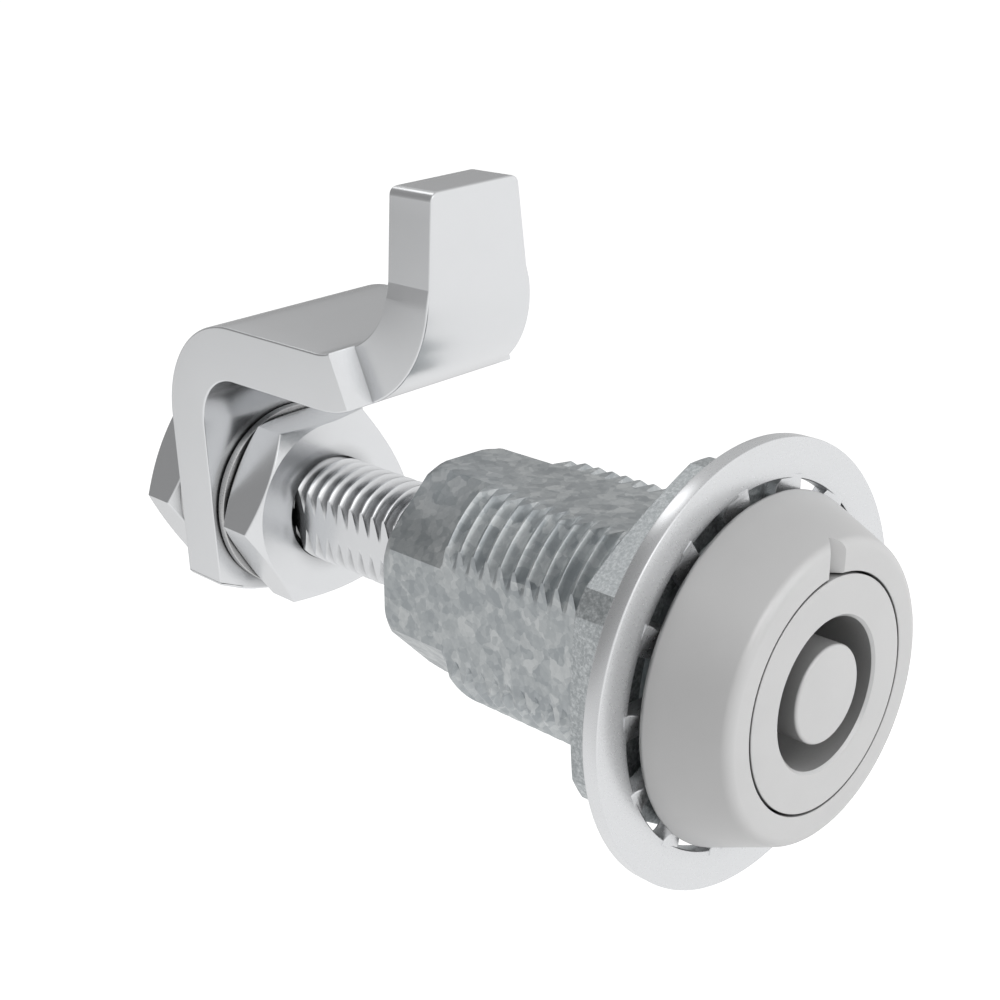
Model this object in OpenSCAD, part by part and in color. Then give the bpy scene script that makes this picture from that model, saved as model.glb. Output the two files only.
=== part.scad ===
// Compression latch. Axis along Y: the head faces -Y, the pawl end is +Y, +Z is up.
// The origin lies on the axis at the rear face of the head, where the panel seats. Units mm.

/* [Head and drive core] */
// Diameter of the head at its rear rim
head_rear_d = 28.3; // [24:0.1:34]
// Diameter of the head where its cone would meet the front face
head_front_d = 23.2; // [21:0.1:28]
// Length of the head in front of the panel
head_len = 6.2; // [4:0.1:10]
// Diameter of the drive core's disc at the front
core_disc_d = 18.24; // [16:0.02:20]
// Diameter of the tubular key recess at its mouth
recess_d = 11.8; // [10:0.1:13]
// Diameter of the centre post
post_d = 7.7; // [6:0.1:9]
// Depth of the key recess
recess_depth = 8.0; // [5:0.1:10]
// Width of the V-shaped index notch at the top of the head
notch_w = 1.9; // [1:0.1:3]
// Depth of the index notch
notch_depth = 0.95; // [0.5:0.05:2]

/* [Threaded body] */
// Major diameter of the body thread
body_d = 22.0; // [20:0.1:26]
// Width across the four flats of the body
body_flats = 18.8; // [17.6:0.1:21]
// Width across the extra facets of the rear collar
collar_facets = 18.4; // [17.6:0.1:21]
// Where the thread ends and the collar starts
thread_end = 24.7; // [20:0.1:30]
// Where the body ends
body_end = 31.8; // [29:0.1:40]
// Diameter of the bore that holds the core
barrel_bore_d = 14.4; // [12:0.1:15]
// Diameter of the rear counterbore that holds the guide bush
guide_bore_d = 15.6; // [14:0.1:16]
// Depth at which the rear counterbore starts
guide_bore_start = 24.2; // [20:0.1:26]

/* [Fixing washer and nut] */
// Outer diameter of the toothed washer
washer_d = 35.4; // [30:0.1:42]
// Diameter inside the washer's rim, where its teeth start
washer_rim_d = 29.1; // [26:0.1:34]
// Thickness of the toothed washer
washer_t = 1.36; // [0.8:0.02:2]
// Number of teeth
washer_teeth = 14; // [10:1:20]
// Width of a tooth
tooth_w = 2.3; // [1.6:0.1:3]
// Twist of a tooth
tooth_twist = 18; // [5:1:30]
// Width across the flats of the mounting nut
nut_flats = 27; // [24:0.1:32]
// Diameter to which the nut's corners are turned
nut_corner_d = 30; // [27:0.1:36]
// Thickness of the mounting nut
nut_t = 4.8; // [3:0.1:8]

/* [Shaft and clamping nuts] */
// Major diameter of the shaft thread
shaft_d = 10; // [8:0.1:12]
// Width across the shaft's two flats
shaft_flats = 8; // [6.4:0.1:9.6]
// Where the shaft starts inside the core
shaft_start = 15.5; // [14:0.1:17]
// Where the shaft ends behind the rear nut
shaft_end = 70.5; // [66:0.1:90]
// Front face of the front clamping nut
clamp_front = 49.7; // [44:0.1:52]
// Width across the flats of a clamping nut
jam_flats = 17; // [15:0.1:19]
// Thickness of a clamping nut
jam_t = 5; // [4:0.1:8]
// Outer diameter of a clamping lock washer
lock_d = 18; // [15:0.1:20]
// Thickness of a clamping lock washer
lock_t = 0.8; // [0.5:0.05:1.6]
// Teeth of a clamping lock washer
lock_teeth = 10; // [6:1:14]

/* [Pawl] */
// Thickness of the pawl bar
pawl_t = 5; // [3:0.1:6]
// Width of the pawl bar
pawl_w = 19; // [15:0.1:24]
// Height of the upper face of the pawl's arm above the axis
arm_top = 19.5; // [18:0.1:30]
// Front face of the tongue
tongue_front = 28.5; // [20:0.1:40]
// Height of the tongue's tip above the axis
tongue_top = 33.1; // [28:0.1:44]
// Width of the narrow part
tongue_w = 11.8; // [8:0.1:16]
// Width of the tongue near its tip
tip_w = 9.7; // [6:0.1:16]
// Inner radius of the bend between leg and arm
leg_bend_r = 5.2; // [3:0.1:8]
// Inner radius of the bend between arm and tongue
tongue_bend_r = 6.5; // [4:0.1:8]
// Radius of the leg's rounded end
leg_end_r = 18; // [14:0.1:24]
// Turn of the pawl, shaft and core off the upright, as in the photo
set_turn = 2.7; // [0:0.1:5]

/* [Draw and hidden parts] */
// Travel of the shaft towards the head in a quarter turn of the core
draw = 5; // [3:0.1:5]
// Position of the cross pin behind the panel face
pin_y = 20.5; // [20:0.1:21]
// Diameter of the cross pin
pin_d = 3; // [2:0.1:3.2]
// Diameter of the spring wire
wire_d = 1.1; // [0.8:0.05:1.2]
// Coils of the return spring
coils = 4; // [3:1:5]
// Section of the core's sealing ring
ring_section = 1.5; // [1.2:0.1:1.6]

/* [Clearances] */
// Radial running clearance of turning pieces
run_gap = 0.05; // [0.02:0.01:0.1]
// Radial clearance of a thread or a loose bore
thread_gap = 0.05; // [0.02:0.01:0.1]
// Visible gap round the core's disc
disc_gap = 0.18; // [0.1:0.01:0.3]
// End clearance of turning pieces
end_gap = 0.05; // [0.02:0.01:0.1]
// Clearance of the pin in its helical slots
slot_gap = 0.2; // [0.15:0.01:0.3]

/* [Hidden] */
$fn = 96;
e = 0.01;
disc_r = core_disc_d / 2;
barrel_r = barrel_bore_d / 2 - run_gap;
guide_r = guide_bore_d / 2 - run_gap;
spigot_len = head_len / 2;                       // how far the body reaches into the head
spigot_r = disc_r + 1.2;
thrust_t = 0.5;
disc_back = -spigot_len - thrust_t - 2 * end_gap;
recess_floor = -head_len + recess_depth;
cavity_r = shaft_d / 2 + 0.35;
cavity_floor = recess_floor + ring_section + 1.3;
groove_y = recess_floor + 0.3;
tooth_reach = (tooth_w * sin(tooth_twist) + washer_t * cos(tooth_twist)) / 2;   // half height of a tooth
washer_mid = tooth_reach + 0.02;
washer_in_r = body_d / 2 + 0.2;
nut_front = 2 * washer_mid;
nut_rear = nut_front + nut_t;
core_end = guide_bore_start + 1.4;
clip_t = 0.8;
guide_front = core_end + end_gap;
rear_ring_t = 1;
rear_ring_y = body_end - 0.6 - rear_ring_t;
guide_len = rear_ring_y - guide_front - end_gap;
guide_mid = guide_front + guide_len / 2;
stop_d = 2;
stop_turn = 45;                                  // the stop pin stands below the axis, away from the notch
stop_half = asin((stop_d / 2 + run_gap) / (guide_r - 0.6)) + 0.5;
lock_w = 1.5;
lock_twist = 14;
lock_reach = (lock_w * sin(lock_twist) + lock_t * cos(lock_twist)) / 2;
jam_rear = clamp_front + jam_t;
lock1_mid = jam_rear + lock_reach + 0.01;
leg_front = lock1_mid + lock_reach + 0.01;
leg_rear = leg_front + pawl_t;
lock2_mid = leg_rear + lock_reach + 0.01;
jam2_front = lock2_mid + lock_reach + 0.01;
jam2_rear = jam2_front + jam_t;
tongue_back = tongue_front + pawl_t;
bend2_y = tongue_back + tongue_bend_r;
bend2_z = arm_top + tongue_bend_r;
bend2_out = tongue_bend_r + pawl_t;
bend1_out = leg_bend_r + pawl_t;
bend1_y = leg_rear - bend1_out;
bend1_z = arm_top - bend1_out;
arm_bottom = arm_top - pawl_t;
shoulder_from = 17;                              // the bar narrows between these angles of the bend
shoulder_to = 26;
shoulder_mid = (shoulder_from + shoulder_to) / 2;
taper_step = 0.3;                                // the tongue narrows a little below its long taper
taper_rise = 1.3;
taper_z = bend2_z - 0.8;
tip_r = 0.8;
seat_t = 0.8;
seat_y = shaft_start - seat_t;
spring_r = cavity_r - wire_d / 2 - 0.25;
spring_len = seat_y - cavity_floor;
spring_pitch = (spring_len - wire_d) / coils;
spring_slant_r = sqrt(pow(spring_r, 2) + pow(spring_pitch / 2, 2));
neck_r = shaft_d / 2 - 0.1;
neck_len = 8;                                    // plain neck inside the core
end_chamfer = 1;
jam_chamfer = 1.5;                               // length of a clamping nut's 30 degree chamfer
lock_ring_w = 1.9;                               // plain ring of a lock washer outside its teeth

// placing: axis pieces are drawn along Z and laid along Y
module along(y) { translate([0, y, 0]) rotate([-90, 0, 0]) children(); }
module tube(y, len, ro, ri) {
  along(y) difference() {
    cylinder(h = len, r = ro);
    translate([0, 0, -1]) cylinder(h = len + 2, r = ri);
  }
}
module posed() { rotate([0, -set_turn, 0]) children(); }
module double_d(r, flats, len) {
  intersection() {
    cylinder(h = len, r = r);
    translate([-flats / 2, -r - 1, 0]) cube([flats, 2 * r + 2, len]);
  }
}

// head: cone with a rounded front edge, front bore for the core's disc, rear socket for the body
module head() color([0.83, 0.83, 0.84]) {
  rr = head_rear_d / 2;
  fr = head_front_d / 2;
  slope = atan((rr - fr) / head_len);
  f = 1.0;                                       // front edge radius
  g = 0.4;                                       // rear rim radius
  fx = fr - f * tan(45 - slope / 2);
  gx = rr - 0.04 - g * tan(45 + slope / 2);
  difference() {
    along(-head_len) rotate_extrude() difference() {
      union() {
        polygon([[spigot_r - 1, 0], [fx, 0], [fx + f * cos(slope), f - f * sin(slope)],
          [gx + g * cos(slope), head_len - g - g * sin(slope)], [gx, head_len], [spigot_r - 1, head_len]]);
        translate([fx, f]) circle(r = f);
        translate([gx, head_len - g]) circle(r = g);
      }
      translate([-50, -1]) square([50 + disc_r + disc_gap, head_len + 2]);
    }
    along(-spigot_len) cylinder(h = spigot_len + 1, r = spigot_r);
    translate([0, -head_len, disc_r - 1]) linear_extrude(rr)
      polygon([[-notch_w, -notch_depth], [notch_w, -notch_depth], [0, notch_depth]]);
    head_pin_shape();
  }
}

// body: front spigot inside the head, four-flat threaded length, eight-sided collar with a turned end
module body_blank() {
  union() {
    along(-spigot_len) cylinder(h = spigot_len + 0.5, r = spigot_r);
    intersection() {
      along(0) cylinder(h = thread_end, r = body_d / 2);
      translate([-body_flats / 2, -1, -body_flats / 2]) cube([body_flats, body_end, body_flats]);
    }
    intersection() {
      translate([-body_flats / 2, thread_end - 0.5, -body_flats / 2])
        cube([body_flats, body_end - thread_end + 0.5, body_flats]);
      translate([0, thread_end - 0.5, 0]) rotate([0, 45, 0])
        translate([-collar_facets / 2, 0, -collar_facets / 2])
        cube([collar_facets, body_end - thread_end + 0.5, collar_facets]);
      along(thread_end - 0.5) union() {
        cylinder(h = body_end - thread_end - 0.5, r = body_d / 2);
        translate([0, 0, body_end - thread_end - 2.5]) cylinder(h = 3, r1 = body_d / 2 + 0.05, r2 = body_d / 2 - 1.35);
      }
    }
  }
}
module body() color([0.6, 0.63, 0.64]) difference() {
  body_blank();
  along(-spigot_len - 1) cylinder(h = body_end + 10, r = barrel_bore_d / 2);
  along(guide_bore_start) cylinder(h = 20, r = guide_bore_d / 2);
  along(rear_ring_y - 0.02) cylinder(h = rear_ring_t + 0.04, r = guide_bore_d / 2 + 0.5);
  stop_hole(stop_d / 2);
  head_pin_shape();
}
module head_pin_shape() { translate([0, -spigot_len + 0.3, -spigot_r]) rotate([-90, 0, 0]) cylinder(h = spigot_len - 0.9, d = 1.5); }
module head_pin() color([0.7, 0.7, 0.7]) head_pin_shape();
module stop_hole(r) { rotate([0, stop_turn, 0]) translate([guide_r - 1, guide_mid, 0]) rotate([0, 90, 0]) cylinder(h = 4, r = r); }
module stop_pin() color([0.7, 0.7, 0.7]) rotate([0, stop_turn, 0])
  translate([guide_r - 1, guide_mid, 0]) rotate([0, 90, 0]) cylinder(h = collar_facets / 2 - guide_r + 1 - 0.1, r = stop_d / 2);
module rear_ring() color([0.35, 0.35, 0.36]) difference() {
  tube(rear_ring_y, rear_ring_t, guide_bore_d / 2 + 0.48, guide_bore_d / 2 - 1.1);
  translate([-1.6, rear_ring_y - 1, 4]) cube([3.2, rear_ring_t + 2, 8]);
}

// one ring with twisted inner teeth, centred on its own mid plane
module toothed(ro, rim, rin, t, n, w, twist, first) {
  difference() {
    union() {
      translate([0, 0, -t / 2]) difference() {
        cylinder(h = t, r = ro);
        translate([0, 0, -1]) cylinder(h = t + 2, r = rim);
      }
      for (i = [0 : n - 1]) rotate([0, 0, first + i * 360 / n])
        translate([rin - 0.5, 0, 0]) rotate([twist, 0, 0])
        translate([0, -w / 2, -t / 2]) cube([rim - rin + 0.8, w, t]);
    }
    translate([0, 0, -5]) cylinder(h = 10, r = rin);
  }
}
module tooth_washer() color([0.85, 0.86, 0.87])
  along(washer_mid) toothed(washer_d / 2, washer_rim_d / 2, washer_in_r, washer_t, washer_teeth, tooth_w, -tooth_twist, -76.5);

// hexagon nuts
module mounting_nut() color([0.62, 0.66, 0.64]) along(nut_front) difference() {
  intersection() {
    rotate([0, 0, 30]) cylinder(h = nut_t, r = nut_flats / sqrt(3), $fn = 6);
    cylinder(h = nut_t, r = nut_corner_d / 2);
  }
  translate([0, 0, -1]) cylinder(h = nut_t + 2, r = body_d / 2 + thread_gap);
}
module jam_nut(y) along(y) difference() {
  c = jam_chamfer;
  face_r = jam_flats / 2 - 0.1;
  intersection() {
    cylinder(h = jam_t, r = jam_flats / sqrt(3), $fn = 6);
    union() {
      translate([0, 0, -e]) cylinder(h = c + e, r1 = face_r, r2 = face_r + (c + e) / tan(30));
      translate([0, 0, c - e]) cylinder(h = jam_t - 2 * c + 2 * e, r = jam_flats);
      translate([0, 0, jam_t - c]) cylinder(h = c + e, r1 = face_r + (c + e) / tan(30), r2 = face_r);
    }
  }
  translate([0, 0, -1]) cylinder(h = jam_t + 2, r = shaft_d / 2 + thread_gap);
}
module front_jam_nut() color([0.82, 0.83, 0.84]) posed() jam_nut(clamp_front);
module rear_jam_nut() color([0.82, 0.83, 0.84]) posed() jam_nut(jam2_front);
module lock_washer(y) along(y) toothed(lock_d / 2, lock_d / 2 - lock_ring_w, shaft_d / 2 + 0.2, lock_t, lock_teeth, lock_w, lock_twist, 0);
module front_lock_washer() color([0.7, 0.7, 0.71]) posed() lock_washer(lock1_mid);
module rear_lock_washer() color([0.7, 0.7, 0.71]) posed() lock_washer(lock2_mid);

// drive core: disc with the annular key recess and centre post, barrel, skirt with two helical slots
module core() color([0.83, 0.83, 0.84]) posed() difference() {
  union() {
    tube(-head_len, recess_depth, barrel_r, recess_d / 2);
    difference() {
      along(-head_len) cylinder(h = disc_back + head_len, r = disc_r);
      along(-head_len - 1) cylinder(h = head_len + 4, r = recess_d / 2);
    }
    along(recess_floor) cylinder(h = core_end - recess_floor, r = barrel_r);
    along(-head_len) cylinder(h = 0.3, r1 = post_d / 2 - 0.3, r2 = post_d / 2);
    along(-head_len + 0.3) cylinder(h = recess_depth, r = post_d / 2);
  }
  along(-head_len - e) cylinder(h = 0.3, r1 = recess_d / 2 + 0.3, r2 = recess_d / 2);
  along(cavity_floor) cylinder(h = 40, r = cavity_r);
  tube(groove_y, ring_section + 0.2, barrel_r + 1, barrel_r - ring_section + 0.3);
  tube(guide_bore_start + 0.05, clip_t + 0.1, barrel_r + 1, barrel_r - 0.6);
  for (side = [0, 180]) for (i = [0 : 9])
    translate([0, pin_y - draw * i / 9, 0]) rotate([0, side - 10 * i, 0])
      rotate([0, 90, 0]) cylinder(h = 10, r = pin_d / 2 + slot_gap);
}
module core_oring() color([0.12, 0.12, 0.12]) posed() along(groove_y + ring_section / 2 + 0.1)
  rotate_extrude() translate([barrel_bore_d / 2 - ring_section / 2, 0]) circle(d = ring_section);
module core_ring() color([0.35, 0.35, 0.36]) posed() tube(guide_bore_start + 0.1, clip_t, barrel_r + 0.5, barrel_r - 0.58);
module thrust_washer() color([0.9, 0.9, 0.86]) posed() tube(-spigot_len - thrust_t - end_gap, thrust_t, disc_r - 0.1, barrel_r + 0.1);

// guide bush: turns in the body, lets the flatted shaft slide, quarter-turn groove for the stop pin
module guide_bush() color([0.55, 0.56, 0.57]) posed() difference() {
  along(guide_front) cylinder(h = guide_len, r = guide_r);
  along(guide_front - 1) double_d(shaft_d / 2 + run_gap, shaft_flats + 2 * run_gap, guide_len + 2);
  along(guide_mid) rotate([0, 0, stop_turn + set_turn - stop_half]) translate([0, 0, -stop_d / 2 - run_gap])
    rotate_extrude(angle = 90 + 2 * stop_half) translate([guide_r - 1.15, 0]) square([3, stop_d + 2 * run_gap]);
}

// return spring: flat half turns joined by slanting half turns
module half_ring(r) { rotate_extrude(angle = 180) translate([r, 0]) circle(d = wire_d, $fn = 24); }
module return_spring() color([0.6, 0.6, 0.62]) posed() along(cavity_floor + wire_d / 2) union() {
  for (i = [0 : coils]) translate([0, 0, i * spring_pitch]) half_ring(spring_r);
  for (i = [0 : coils - 1]) translate([0, 0, (i + 0.5) * spring_pitch])
    rotate([0, -atan(spring_pitch / 2 / spring_r), 0]) rotate([0, 0, 180]) half_ring(spring_slant_r);
  for (i = [0 : coils]) for (s = [-1, 1]) translate([s * spring_r, 0, i * spring_pitch]) sphere(d = wire_d + 0.06, $fn = 24);
}
module spring_seat() color([0.75, 0.75, 0.76]) posed() tube(seat_y, seat_t, cavity_r - run_gap - 0.05, 1.6);
module cross_pin() color([0.7, 0.7, 0.71]) posed() translate([-barrel_r + 0.1, pin_y, 0]) rotate([0, 90, 0]) cylinder(h = 2 * barrel_r - 0.2, d = pin_d);

// shaft: plain neck inside the core, then the threaded length with two flats
module shaft() color([0.82, 0.83, 0.84]) posed() difference() {
  union() {
    along(shaft_start) cylinder(h = neck_len, r = neck_r);
    along(shaft_start + neck_len - e) double_d(shaft_d / 2, shaft_flats, shaft_end - end_chamfer - shaft_start - neck_len);
    intersection() {
      along(shaft_end - end_chamfer - e) cylinder(h = end_chamfer + e, r1 = shaft_d / 2, r2 = shaft_d / 2 - end_chamfer);
      translate([-shaft_flats / 2, shaft_end - 2 * end_chamfer, -shaft_d]) cube([shaft_flats, 4 * end_chamfer, 2 * shaft_d]);
    }
  }
  translate([-shaft_d, pin_y, 0]) rotate([0, 90, 0]) cylinder(h = 2 * shaft_d, d = pin_d);
}

// pawl: one flat bar bent twice, narrowed in the second bend, with a tapered tongue
module quarter_bend(ro, ri, turn) {
  rotate(turn) intersection() {
    difference() {
      circle(r = ro);
      circle(r = ri);
    }
    square(ro + 1);
  }
}
module bar_side() {
  translate([leg_front, -leg_end_r]) square([pawl_t, bend1_z + leg_end_r]);
  translate([bend1_y, bend1_z]) quarter_bend(bend1_out, leg_bend_r, 0);
  translate([bend2_y, arm_bottom]) square([bend1_y - bend2_y, pawl_t]);
  translate([bend2_y, bend2_z]) quarter_bend(bend2_out, tongue_bend_r, 180);
  translate([tongue_front, bend2_z]) square([pawl_t, tongue_top - bend2_z + 1]);
}
module z_bar(hw) { translate([-hw, 0, 0]) rotate([90, 0, 90]) linear_extrude(height = 2 * hw) bar_side(); }
// outline of the tongue above the second bend, with rounded tip corners; it runs wide at its foot
module tongue_outline() {
  w1 = tongue_w / 2 - taper_step;
  cx = tip_w / 2 - tip_r;
  cz = tongue_top - tip_r;
  lean = atan((w1 - tip_w / 2) / (tongue_top - taper_z));
  tx = cx + tip_r * cos(lean);
  tz = cz + tip_r * sin(lean);
  foot = w1 + 4 * taper_step;
  union() {
    polygon([[-foot, taper_z - 4 * taper_rise], [foot, taper_z - 4 * taper_rise], [w1, taper_z], [tx, tz], [cx, cz],
      [cx, tongue_top], [-cx, tongue_top], [-cx, cz], [-tx, tz], [-w1, taper_z]]);
    for (m = [-1, 1]) translate([m * cx, cz]) circle(r = tip_r);
  }
}
// beside the shoulder: a slanting step from the full width, then the narrow width for the rest of the bar
module shoulder_cut_outline() {
  n = tongue_w / 2;
  w = pawl_w / 2;
  d = (tongue_bend_r + pawl_t / 2) * tan((shoulder_to - shoulder_from) / 2);
  far = bend2_out + tongue_top;
  polygon([[w + (w - n) / (2 * d), d + 1], [n, -d], [n, -far], [pawl_w, -far], [pawl_w, d + 1]]);
}
module pawl() color([0.82, 0.83, 0.84]) posed() difference() {
  z_bar(pawl_w / 2);
  for (m = [0, 1]) mirror([m, 0, 0]) {
    translate([0, bend2_y, bend2_z]) rotate([-shoulder_mid, 0, 0]) translate([0, 0, -bend2_out - 1])
      linear_extrude(height = bend2_out + tongue_top) shoulder_cut_outline();
  }
  translate([0, tongue_back + 1, 0]) rotate([90, 0, 0]) linear_extrude(height = pawl_t + 2) difference() {
    translate([-tongue_w, taper_z - 3 * taper_rise]) square([2 * tongue_w, tongue_top]);
    tongue_outline();
  }
  difference() {
    translate([-pawl_w, leg_front - 1, -leg_end_r - 1]) cube([2 * pawl_w, pawl_t + 2, leg_end_r + 1]);
    along(leg_front - 2) translate([0, pawl_w / 2 - leg_end_r - 0.1, 0]) cylinder(h = pawl_t + 4, r = leg_end_r);
  }
  along(leg_front - 1) double_d(shaft_d / 2 + 0.1, shaft_flats + 0.2, pawl_t + 2);
}

head();
body();
head_pin();
tooth_washer();
mounting_nut();
core();
core_oring();
core_ring();
thrust_washer();
guide_bush();
stop_pin();
rear_ring();
return_spring();
spring_seat();
cross_pin();
shaft();
front_jam_nut();
front_lock_washer();
pawl();
rear_lock_washer();
rear_jam_nut();
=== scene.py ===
import math

import bmesh
import bpy
import numpy as np
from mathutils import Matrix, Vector


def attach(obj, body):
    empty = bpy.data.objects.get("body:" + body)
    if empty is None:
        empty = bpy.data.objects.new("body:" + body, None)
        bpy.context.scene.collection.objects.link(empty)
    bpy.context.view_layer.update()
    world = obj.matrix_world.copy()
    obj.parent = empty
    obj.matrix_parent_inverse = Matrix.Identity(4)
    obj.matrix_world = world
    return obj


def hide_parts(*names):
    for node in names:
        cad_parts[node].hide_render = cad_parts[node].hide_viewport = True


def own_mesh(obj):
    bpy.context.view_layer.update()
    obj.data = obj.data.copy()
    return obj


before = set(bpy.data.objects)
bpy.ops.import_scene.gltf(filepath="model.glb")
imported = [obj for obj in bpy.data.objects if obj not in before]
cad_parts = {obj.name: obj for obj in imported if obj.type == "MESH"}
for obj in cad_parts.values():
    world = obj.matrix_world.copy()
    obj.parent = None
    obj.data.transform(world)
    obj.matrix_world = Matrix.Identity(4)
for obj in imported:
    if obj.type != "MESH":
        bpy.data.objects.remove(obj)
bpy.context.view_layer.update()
print("frame loaded:", len(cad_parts), "pieces")

mm = 0.001
rad = math.radians
setTurn = 2.7  # degrees that core, shaft, nuts and pawl stand off the upright
weldGap = 1e-6  # points of one mesh that are nearer than this become one, in metres
sliverGap = 1e-7  # edges shorter than this are dropped, in metres


# mesh tools: shapes are worked out in millimetres as whole arrays

def gridFaces(rows, cols, closeRows=False, closeCols=False):
    # quads between neighbouring rows and columns, as one array of vertex numbers
    r = np.arange(rows if closeRows else rows - 1)
    c = np.arange(cols if closeCols else cols - 1)
    a, b = np.meshgrid(r, c, indexing="ij")
    a2, b2 = (a + 1) % rows, (b + 1) % cols
    return np.stack([a * cols + b, a * cols + b2, a2 * cols + b2, a2 * cols + b], -1).reshape(-1, 4)


def polar(r, angle, y):
    # x = r cos(angle), z = r sin(angle), with the angle in degrees from +X towards +Z
    r, angle, y = np.broadcast_arrays(r, np.radians(angle), y)
    return np.stack([r * np.cos(angle), y, r * np.sin(angle)], -1)


def turned(points, degrees):
    # turned about the latch's axis by degrees, from +X towards +Z
    c, s = math.cos(rad(degrees)), math.sin(rad(degrees))
    x, y, z = points[..., 0], points[..., 1], points[..., 2]
    return np.stack([x * c - z * s, y, x * s + z * c], -1)


def roundedLoop(corners, steps=6, closed=True):
    # a polygon whose corners (a, b, radius) become arcs, each turned evenly between its two tangent points
    out, n = [], len(corners)
    for i, (a, b, radius) in enumerate(corners):
        p = np.array([a, b], float)
        if radius <= 0 or (not closed and i in (0, n - 1)):
            out.append(p[None])
            continue
        u = np.array(corners[i - 1][:2], float) - p
        v = np.array(corners[(i + 1) % n][:2], float) - p
        u, v = u / np.linalg.norm(u), v / np.linalg.norm(v)
        half = math.acos(float(np.clip(u @ v, -1, 1))) / 2
        centre = p + (u + v) / np.linalg.norm(u + v) * radius / math.sin(half)
        start, end = p + u * radius / math.tan(half) - centre, p + v * radius / math.tan(half) - centre
        t, sweep = np.linspace(0, 1, steps + 1)[:, None], math.pi - 2 * half
        out.append(centre + (start * np.sin((1 - t) * sweep) + end * np.sin(t * sweep)) / math.sin(sweep))
    return np.concatenate(out)


def spin(profile, columns=160, closed=True):
    # each profile point (r, y) carried round the axis
    points = polar(profile[:, :1], np.arange(columns)[None] * 360 / columns, profile[:, 1:])
    return points, gridFaces(len(profile), columns, closed, True)


def fillMesh(name, shells):
    mesh, start, points, faces = bpy.data.meshes.new(name), 0, [], []
    for p, f in shells:
        points.append(np.asarray(p, float).reshape(-1, 3))
        faces.append(f + start)
        start += len(points[-1])
    points = np.concatenate(points) * mm
    totals = np.concatenate([np.full(len(f), f.shape[1]) for f in faces])
    loops = np.concatenate([f.ravel() for f in faces])
    mesh.vertices.add(len(points))
    mesh.vertices.foreach_set("co", points.astype(np.float32).ravel())
    mesh.loops.add(len(loops))
    mesh.loops.foreach_set("vertex_index", loops.astype(np.int32))
    mesh.polygons.add(len(totals))
    mesh.polygons.foreach_set("loop_start", (np.cumsum(totals) - totals).astype(np.int32))
    mesh.update(calc_edges=True)
    return mesh


def tidyMesh(mesh, sharp):
    # seams and poles are merged, every face is turned outwards, and edges over the angle sharp stay sharp
    bm = bmesh.new()
    bm.from_mesh(mesh)
    bmesh.ops.remove_doubles(bm, verts=bm.verts, dist=weldGap)
    bmesh.ops.dissolve_degenerate(bm, edges=bm.edges, dist=sliverGap)
    bmesh.ops.recalc_face_normals(bm, faces=bm.faces)
    bm.to_mesh(mesh)
    bm.free()
    mesh.validate()
    mesh.polygons.foreach_set("use_smooth", np.ones(len(mesh.polygons), bool))
    mesh.set_sharp_from_angle(angle=rad(sharp))
    mesh.update()


def placed(name, data):
    obj = bpy.data.objects.new(name, data)
    bpy.context.scene.collection.objects.link(obj)
    return obj


def cutAway(mesh, cutters, sharp):
    # a tidied mesh with the cutters' shapes taken out of it
    work = placed("work", mesh)
    spare = [work]
    for shell in cutters:
        cutter = placed("cutter", fillMesh("cutter", [shell]))
        tidyMesh(cutter.data, sharp)
        spare.append(cutter)
        cut = work.modifiers.new("cut", "BOOLEAN")
        cut.operation, cut.solver, cut.object = "DIFFERENCE", "MANIFOLD", cutter
    graph = bpy.context.evaluated_depsgraph_get()
    made = bpy.data.meshes.new_from_object(work.evaluated_get(graph))
    for o in spare:
        bpy.data.objects.remove(o)
    tidyMesh(made, sharp)
    return made


def addPiece(name, mesh, look, body, nodes):
    obj = placed(name, mesh)
    mesh.materials.clear()
    mesh.materials.append(look)
    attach(obj, body)
    if nodes:
        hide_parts(*nodes)
    print("piece", name, len(mesh.polygons), "faces")
    return obj


def makePiece(name, shells, look, body, nodes, sharp=32, cutters=()):
    mesh = fillMesh(name, shells)
    tidyMesh(mesh, sharp)
    if cutters:
        mesh = cutAway(mesh, cutters, sharp)
    return addPiece(name, mesh, look, body, nodes)


# node tools

def startLook(name):
    look = bpy.data.materials.new(name)
    look.use_nodes = True
    tree = look.node_tree
    shader = tree.nodes["Principled BSDF"]
    where = tree.nodes.new("ShaderNodeTexCoord").outputs["Object"]
    return look, tree, shader, where


def noise(tree, where, scale, detail=3.0, rough=0.55, stretch=None):
    if stretch:
        place = tree.nodes.new("ShaderNodeMapping")
        place.inputs["Scale"].default_value = stretch
        tree.links.new(where, place.inputs["Vector"])
        where = place.outputs["Vector"]
    made = tree.nodes.new("ShaderNodeTexNoise")
    made.inputs["Scale"].default_value = scale
    made.inputs["Detail"].default_value = detail
    made.inputs["Roughness"].default_value = rough
    tree.links.new(where, made.inputs["Vector"])
    return made.outputs["Fac"]


def cells(tree, where, scale, blur=0.4, wobble=0.0, wobbleScale=1500):
    # soft-edged crystal patches, each with its own random tone
    if wobble:
        drift = tree.nodes.new("ShaderNodeTexNoise")
        drift.inputs["Scale"].default_value = wobbleScale
        tree.links.new(where, drift.inputs["Vector"])
        mix = tree.nodes.new("ShaderNodeVectorMath")
        mix.operation = "MULTIPLY_ADD"
        mix.inputs[1].default_value = (wobble,) * 3
        tree.links.new(drift.outputs["Color"], mix.inputs[0])
        tree.links.new(where, mix.inputs[2])
        where = mix.outputs["Vector"]
    made = tree.nodes.new("ShaderNodeTexVoronoi")
    made.feature = "SMOOTH_F1"
    made.inputs["Scale"].default_value = scale
    made.inputs["Smoothness"].default_value = blur
    tree.links.new(where, made.inputs["Vector"])
    split = tree.nodes.new("ShaderNodeSeparateColor")
    tree.links.new(made.outputs["Color"], split.inputs["Color"])
    return split.outputs["Red"]


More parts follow.
